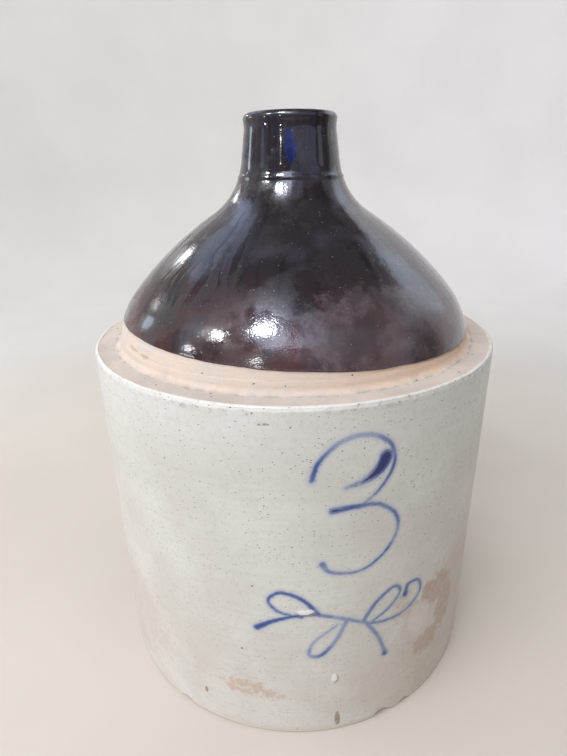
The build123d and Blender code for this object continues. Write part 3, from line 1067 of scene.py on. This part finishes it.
# Stage: a pale floor that sweeps up into a half-round backdrop behind the jug.
# Neither belongs to the jug.
FLOOR_REACH = 1.5
FLOOR_FRONT = 3.0
COVE = 0.35
BACKDROP_HEIGHT = 1.6
BACKDROP_STEPS = 64
FLOOR_TONES = ((0.65, 0.61, 0.56, 1), (0.61, 0.57, 0.52, 1))
BACKDROP_TONES = ((0.81, 0.80, 0.80, 1), (0.77, 0.76, 0.76, 1))
BACKDROP_FROM = (0.3, 1.2)


def pale_cloth():
    """Pale cloth for floor and backdrop, a little warmer on the floor."""
    material, tree, shader, place = principled("pale cloth", (0.84, 0.81, 0.77, 1), 0.9)
    soft = fade(tree, grain(tree, place, 4.0, 3.0), 0.3, 0.7)
    outer = fade(tree, radius_of(tree, place), *BACKDROP_FROM)
    colour = tint(tree, outer, tint(tree, soft, *FLOOR_TONES), tint(tree, soft, *BACKDROP_TONES))
    tree.links.new(colour, shader.inputs["Base Color"])
    return material


def sweep_mesh(name):
    """A round floor, with the back half of its edge curved up into a wall, and a floor in front."""
    mesh = bpy.data.meshes.new(name)
    bm = bmesh.new()
    section = [(0.0, 0.0), (0.5, 0.0), (FLOOR_REACH - COVE, 0.0)]
    section += [
        (FLOOR_REACH - COVE + COVE * math.sin(a), COVE - COVE * math.cos(a))
        for a in (math.radians(10 * step) for step in range(1, 10))
    ]
    section.append((FLOOR_REACH, BACKDROP_HEIGHT))
    ring = [bm.verts.new((radius, 0, height)) for radius, height in section]
    edges = [bm.edges.new(pair) for pair in zip(ring, ring[1:])]
    bmesh.ops.spin(
        bm, geom=ring + edges, cent=(0, 0, 0), axis=(0, 0, 1), dvec=(0, 0, 0),
        angle=math.pi, steps=BACKDROP_STEPS, use_merge=False,
    )
    front = [edge for edge in bm.edges if all(abs(v.co.y) + abs(v.co.z) < 0.0001 for v in edge.verts)]
    grown = bmesh.ops.extrude_edge_only(bm, edges=front)["geom"]
    moved = [item for item in grown if isinstance(item, bmesh.types.BMVert)]
    bmesh.ops.translate(bm, vec=(0, -FLOOR_FRONT, 0), verts=moved)
    bmesh.ops.remove_doubles(bm, verts=bm.verts, dist=0.0001)
    return smoothed(bm, mesh)


sweep = placed("pale_sweep", sweep_mesh("pale_sweep"))
sweep.data.materials.append(pale_cloth())

# Light: a broad soft light from the left and one from above, with lamps and cards that the glaze mirrors.
# A grey room lies round them, cool on the left and warm and dim on the right.
CAMERA_TURN = -12.0
AIM = Vector((0, 0, 0.2))


def lamp(name, turn, rise, distance, wide, tall, watts, colour, glints=True, fills=True):
    """An area light aimed at the jug, at a turn from the camera and a rise above the floor in degrees."""
    light = bpy.data.lights.new(name, "AREA")
    light.shape = "RECTANGLE" if fills else "ELLIPSE"
    light.size = wide
    light.size_y = tall
    light.energy = watts
    light.color = colour
    holder = placed(name, light)
    a = math.radians(turn + CAMERA_TURN)
    e = math.radians(rise)
    way = Vector((math.sin(a) * math.cos(e), -math.cos(a) * math.cos(e), math.sin(e)))
    holder.location = AIM + way * distance
    holder.rotation_euler = way.to_track_quat("Z", "Y").to_euler()
    holder.visible_camera = False
    holder.visible_glossy = glints
    holder.visible_diffuse = fills


def card(*settings):
    """A lamp that shows only where the glaze mirrors it."""
    lamp(*settings, fills=False)


lamp("soft_left", -45, 36, 2.2, 1.8, 1.8, 36, (1.0, 0.985, 0.96), glints=False)
lamp("soft_top", 20, 80, 2.2, 1.6, 1.6, 24, (1.0, 0.97, 0.93), glints=False)
card("ceiling_card", -10, 54, 2.0, 1.7, 1.4, 9.0, (0.70, 0.73, 1.0))
card("ceiling_glow", -17, 51, 1.7, 0.64, 0.82, 9.5, (0.76, 0.79, 1.0))
card("ceiling_glow_low", -6, 43, 1.7, 0.55, 0.50, 3.4, (0.76, 0.78, 1.0))
card("ceiling_glint", -26, 55, 1.6, 0.30, 0.33, 21.0, (0.90, 0.94, 1.0))
card("left_glint", -57, 40, 1.6, 0.21, 0.28, 12.0, (0.97, 0.98, 1.0))
card("low_left_glint", -59, 21.4, 0.45, 0.024, 0.017, 0.13, (0.95, 0.97, 1.0))
lamp("back_glint", -134, 29, 1.1, 0.04, 0.10, 0.6, (0.92, 0.96, 1.0))
lamp("side_glint", -116, 25, 1.2, 0.035, 0.05, 0.16, (0.95, 0.97, 1.0))
card("back_left_card", -127, 48, 1.7, 0.8, 0.7, 2.4, (0.56, 0.70, 1.0))
card("left_window", -109, 16.5, 1.2, 0.12, 0.22, 0.45, (0.70, 0.84, 1.0))
card("neck_card_left", -70, 20, 1.6, 0.25, 0.30, 0.25, (0.76, 0.84, 1.0))
card("neck_card_right", 74, 18, 1.6, 0.30, 0.30, 0.25, (0.76, 0.84, 1.0))
card("front_glint", -22, 21.3, 1.6, 0.07, 0.08, 0.08, (0.72, 0.86, 1.0))
card("front_foot_glint", -22, 21.8, 0.567, 0.024, 0.0194, 0.17, (0.97, 0.98, 1.0))
card("front_spark", -22, 23.2, 1.52, 0.04, 0.03, 0.2, (1.0, 1.0, 1.0))
card("front_card", 34, 32, 2.0, 2.4, 1.5, 6.5, (0.72, 0.78, 1.0))
card("back_right_card", 113, 39, 1.4, 1.5, 0.5, 1.0, (0.72, 0.82, 1.0))
card("right_window", 120, 31, 1.25, 0.36, 0.70, 0.5, (0.62, 0.80, 1.0))


COOL_TONES = ((0.33, 0.37, 0.46, 1), (0.24, 0.27, 0.35, 1))
WARM_TONES = ((0.15, 0.137, 0.122, 1), (0.10, 0.09, 0.08, 1))
PLAIN_TONE = (0.66, 0.64, 0.62, 1)


def grey_room():
    """The room round the stage, from cool to warm across the view, and plain when looked at."""
    room = bpy.data.worlds.new("grey room")
    room.use_nodes = True
    tree = room.node_tree
    way = tree.nodes.new("ShaderNodeTexCoord").outputs["Generated"]
    right = math.radians(CAMERA_TURN)
    rightward = (math.cos(right), math.sin(right), 0.0)
    across = node(tree, "VectorMath", {0: way, 1: rightward}, operation="DOT_PRODUCT")
    side = fade(tree, across.outputs["Value"], -0.8, 0.7)
    patches = fade(tree, grain(tree, way, 2.2, 3.0), 0.35, 0.65)
    walls = tint(tree, side, tint(tree, patches, *COOL_TONES), tint(tree, patches, *WARM_TONES))
    seen = node(tree, "LightPath").outputs["Is Camera Ray"]
    tree.links.new(tint(tree, seen, walls, PLAIN_TONE), tree.nodes["Background"].inputs["Color"])
    return room


bpy.context.scene.world = grey_room()
bpy.context.scene.view_settings.view_transform = "Standard"

# Camera: close in front of the jug and above its middle, tipped down, as the photograph was taken.
# Its place and its focal length were fitted to the jug's outline in the photograph.
CAMERA_BACK = 0.347
CAMERA_HEIGHT = 0.3304
CAMERA_PITCH = 22.24
CAMERA_YAW = -1.14
CAMERA_ROLL = 1.08
FOCAL_PIXELS = 513.37
LONG_SIDE_PIXELS = 756
camera = placed("camera", bpy.data.cameras.new("camera"))
camera.data.sensor_width = 36.0
camera.data.lens = FOCAL_PIXELS * camera.data.sensor_width / LONG_SIDE_PIXELS
camera.data.clip_start = 0.01
camera.matrix_world = (
    Matrix.Rotation(math.radians(CAMERA_TURN), 4, "Z")
    @ Matrix.Translation((0, -CAMERA_BACK, CAMERA_HEIGHT))
    @ Matrix.Rotation(math.radians(-CAMERA_YAW), 4, "Z")
    @ Matrix.Rotation(math.radians(90 - CAMERA_PITCH), 4, "X")
    @ Matrix.Rotation(math.radians(-CAMERA_ROLL), 4, "Z")
)
bpy.context.scene.camera = camera
